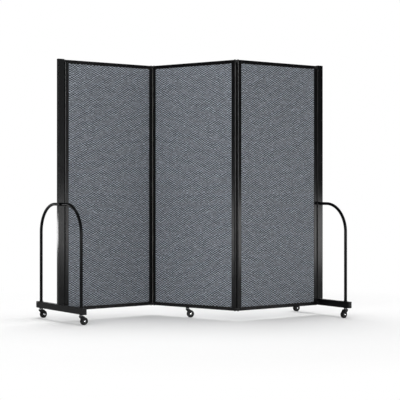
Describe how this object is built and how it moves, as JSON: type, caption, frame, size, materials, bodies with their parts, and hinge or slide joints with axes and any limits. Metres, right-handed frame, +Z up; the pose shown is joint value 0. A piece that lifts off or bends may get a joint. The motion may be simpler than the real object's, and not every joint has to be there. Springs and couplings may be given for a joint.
{
  "type": "ward privacy screen on wheels",
  "caption": "Folding privacy screen of hinged fabric-covered panels in black metal frames, standing on casters with T-shaped end frames and tube hoops.",
  "frame": {"origin": "on the floor under the centre of the middle panel, which is also the bottom centre of the whole screen's box", "axes": "+X along the screen from left to right as seen in the picture, +Y away from the viewer, +Z up"},
  "size_m": [1.8818, 0.8466, 1.524],
  "materials": {
    "frame": "black powder coat on extruded aluminium, satin",
    "tube": "black powder coat, satin to gloss",
    "hinge": "black, satin",
    "fabric": "bluish grey coarse weave, matt",
    "core": "plain fibreboard",
    "cap": "black moulded plastic, satin",
    "fork": "black moulded plastic, satin",
    "wheel": "black soft-tread wheel, matt",
    "axle": "bright plated steel"
  },
  "bodies": {
    "middle_panel": {"middle_panel_stile_left": "frame", "middle_panel_stile_right": "frame", "middle_panel_rail_top": "frame", "middle_panel_rail_bottom": "frame", "middle_panel_core_board": "core", "middle_panel_fabric_front": "fabric", "middle_panel_fabric_rear": "fabric"},
    "left_hinge": {"left_hinge_link_top": "hinge", "left_hinge_link_bottom": "hinge", "left_hinge_pin_middle": "hinge", "left_hinge_pin_outer": "hinge"},
    "left_panel": {"left_panel_stile_inner": "frame", "left_panel_stile_outer": "frame", "left_panel_rail_top": "frame", "left_panel_rail_bottom": "frame", "left_panel_core_board": "core", "left_panel_fabric_front": "fabric", "left_panel_fabric_rear": "fabric"},
    "left_end_frame": {"left_end_post": "frame", "left_end_post_cap": "frame", "left_end_hinge_pin": "hinge", "left_hoop": "tube", "left_foot_bar": "tube", "left_foot_cap_front": "cap", "left_foot_cap_rear": "cap"},
    "right_hinge": {"right_hinge_link_top": "hinge", "right_hinge_link_bottom": "hinge", "right_hinge_pin_middle": "hinge", "right_hinge_pin_outer": "hinge"},
    "right_panel": {"right_panel_stile_inner": "frame", "right_panel_stile_outer": "frame", "right_panel_rail_top": "frame", "right_panel_rail_bottom": "frame", "right_panel_core_board": "core", "right_panel_fabric_front": "fabric", "right_panel_fabric_rear": "fabric"},
    "right_end_frame": {"right_end_post": "frame", "right_end_post_cap": "frame", "right_end_hinge_pin": "hinge", "right_hoop": "tube", "right_foot_bar": "tube", "right_foot_cap_front": "cap", "right_foot_cap_rear": "cap"},
    "left_front_caster_swivel": {"left_front_caster_fork": "fork", "left_front_caster_axle": "axle"},
    "left_front_caster_wheel": {"left_front_caster_wheel": "wheel"},
    "left_rear_caster_swivel": {"left_rear_caster_fork": "fork", "left_rear_caster_axle": "axle"},
    "left_rear_caster_wheel": {"left_rear_caster_wheel": "wheel"},
    "middle_caster_swivel": {"middle_caster_fork": "fork", "middle_caster_axle": "axle"},
    "middle_caster_wheel": {"middle_caster_wheel": "wheel"},
    "right_front_caster_swivel": {"right_front_caster_fork": "fork", "right_front_caster_axle": "axle"},
    "right_front_caster_wheel": {"right_front_caster_wheel": "wheel"},
    "right_rear_caster_swivel": {"right_rear_caster_fork": "fork", "right_rear_caster_axle": "axle"},
    "right_rear_caster_wheel": {"right_rear_caster_wheel": "wheel"}
  },
  "joints": [
    {"name": "left_hinge_inner_fold", "type": "hinge", "parent": "middle_panel", "child": "left_hinge", "pos_m": [-0.2423, 0.17604, 0.76], "axis": [0, 0, 1], "range_deg": [-126, 54]},
    {"name": "left_hinge_outer_fold", "type": "hinge", "parent": "left_hinge", "child": "left_panel", "pos_m": [-0.2603, 0.17604, 0.76], "axis": [0, 0, 1], "range_deg": [-126, 54]},
    {"name": "left_end_frame_turn", "type": "hinge", "parent": "left_panel", "child": "left_end_frame", "pos_m": [-0.7449, -0.17604, 0.76], "axis": [0, 0, -1], "range_deg": [-90, 90]},
    {"name": "right_hinge_inner_fold", "type": "hinge", "parent": "middle_panel", "child": "right_hinge", "pos_m": [0.2423, -0.17604, 0.76], "axis": [0, 0, 1], "range_deg": [-126, 54]},
    {"name": "right_hinge_outer_fold", "type": "hinge", "parent": "right_hinge", "child": "right_panel", "pos_m": [0.2603, -0.17604, 0.76], "axis": [0, 0, 1], "range_deg": [-126, 54]},
    {"name": "right_end_frame_turn", "type": "hinge", "parent": "right_panel", "child": "right_end_frame", "pos_m": [0.7449, 0.17604, 0.76], "axis": [0, 0, -1], "range_deg": [-90, 90]},
    {"name": "left_front_caster_swivel_turn", "type": "hinge", "parent": "left_end_frame", "child": "left_front_caster_swivel", "pos_m": [-0.63145, -0.38409, 0.056], "axis": [0, 0, 1], "continuous": true},
    {"name": "left_front_caster_wheel_roll", "type": "hinge", "parent": "left_front_caster_swivel", "child": "left_front_caster_wheel", "pos_m": [-0.61672, -0.37559, 0.02181], "axis": [-0.5, 0.866, 0], "continuous": true},
    {"name": "left_rear_caster_swivel_turn", "type": "hinge", "parent": "left_end_frame", "child": "left_rear_caster_swivel", "pos_m": [-0.90771, -0.00385, 0.056], "axis": [0, 0, 1], "continuous": true},
    {"name": "left_rear_caster_wheel_roll", "type": "hinge", "parent": "left_rear_caster_swivel", "child": "left_rear_caster_wheel", "pos_m": [-0.89633, 0.00878, 0.02181], "axis": [-0.7431, 0.6691, 0], "continuous": true},
    {"name": "middle_caster_swivel_turn", "type": "hinge", "parent": "middle_panel", "child": "middle_caster_swivel", "pos_m": [-0.0356, 0.02586, 0.056], "axis": [0, 0, 1], "continuous": true},
    {"name": "middle_caster_wheel_roll", "type": "hinge", "parent": "middle_caster_swivel", "child": "middle_caster_wheel", "pos_m": [-0.01869, 0.02764, 0.02181], "axis": [-0.1045, 0.9945, 0], "continuous": true},
    {"name": "right_front_caster_swivel_turn", "type": "hinge", "parent": "right_end_frame", "child": "right_front_caster_swivel", "pos_m": [0.90771, 0.00385, 0.056], "axis": [0, 0, 1], "continuous": true},
    {"name": "right_front_caster_wheel_roll", "type": "hinge", "parent": "right_front_caster_swivel", "child": "right_front_caster_wheel", "pos_m": [0.89569, -0.00817, 0.02181], "axis": [0.7071, -0.7071, 0], "continuous": true},
    {"name": "right_rear_caster_swivel_turn", "type": "hinge", "parent": "right_end_frame", "child": "right_rear_caster_swivel", "pos_m": [0.63145, 0.38409, 0.056], "axis": [0, 0, 1], "continuous": true},
    {"name": "right_rear_caster_wheel_roll", "type": "hinge", "parent": "right_rear_caster_swivel", "child": "right_rear_caster_wheel", "pos_m": [0.64537, 0.39384, 0.02181], "axis": [-0.5736, 0.8192, 0], "continuous": true}
  ]
}
